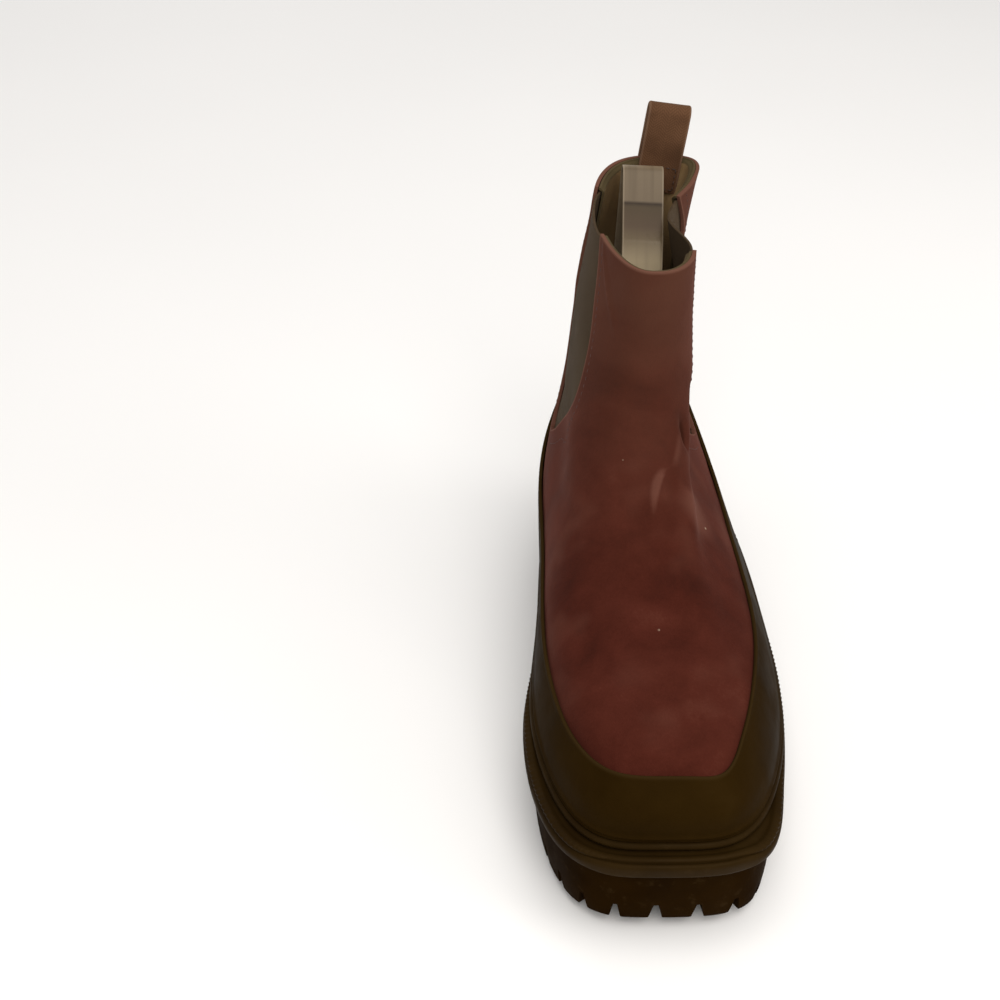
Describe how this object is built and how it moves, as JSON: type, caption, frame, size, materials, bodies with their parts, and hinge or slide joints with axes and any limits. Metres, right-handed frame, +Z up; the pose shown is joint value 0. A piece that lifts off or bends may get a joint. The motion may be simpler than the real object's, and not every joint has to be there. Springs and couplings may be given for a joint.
{
  "type": "chelsea boot",
  "caption": "Left ankle boot with elastic side gores, coated mudguard, webbing pull tab and a thick lug sole, with a removable plastic shaper in the shaft.",
  "frame": {"origin": "centre of the boot's footprint, on the ground", "axes": "-Y towards the toe, +Y towards the heel, -X towards the inner side of the left foot, +Z up"},
  "size_m": [0.1101, 0.2959, 0.2361],
  "materials": {
    "tread_rubber": "matte",
    "midsole_foam": "matte",
    "shank_steel": "satin",
    "bumper_rubber": "satin",
    "board": "matte",
    "footbed_foam": "matte",
    "sock_textile": "matte",
    "stiffener": "matte",
    "suede": "matte",
    "coated_guard": "satin",
    "elastic": "matte",
    "lining_textile": "matte",
    "tape": "matte",
    "thread": "matte",
    "webbing": "matte",
    "shaper_plastic": "gloss"
  },
  "bodies": {
    "root": {"outsole": "tread_rubber", "midsole": "midsole_foam", "shank": "shank_steel", "welt": "bumper_rubber", "welt_bead": "bumper_rubber", "insole_board": "board", "footbed": "footbed_foam", "sock_cover": "sock_textile", "toe_puff": "stiffener", "counter_stiffener": "stiffener", "vamp": "suede", "back_panel": "suede", "mudguard": "coated_guard", "heel_counter_cover": "coated_guard", "gore_medial": "elastic", "gore_lateral": "elastic", "vamp_lining": "lining_textile", "quarter_lining": "lining_textile", "topline_tape_back": "tape", "quarter_stitching": "thread", "pull_tab_anchor": "webbing", "pull_tab_stitching": "thread"},
    "front_panel": {"shaft_front": "suede", "shaft_front_lining": "lining_textile", "topline_tape_front": "tape", "front_stitching": "thread"},
    "pull_loop": {"pull_tab": "webbing"},
    "shaper": {"boot_shaper": "shaper_plastic"}
  },
  "joints": [
    {"name": "front_flex", "type": "hinge", "parent": "root", "child": "front_panel", "pos_m": [0, -0.03488, 0.10593], "axis": [1, 0, 0], "range_deg": [0, 10], "stiffness_Nm_per_rad": 2, "deforming": ["gore_medial", "gore_lateral"]},
    {"name": "tab_flex", "type": "hinge", "parent": "root", "child": "pull_loop", "pos_m": [0.01, 0.12115, 0.2148], "axis": [0.9903, 0, -0.1392], "range_deg": [-60, 50], "stiffness_Nm_per_rad": 0.02},
    {"name": "shaper_lift", "type": "slide", "parent": "root", "child": "shaper", "axis": [0.0523, 0, 0.9986], "range_m": [0, 0.135]}
  ]
}
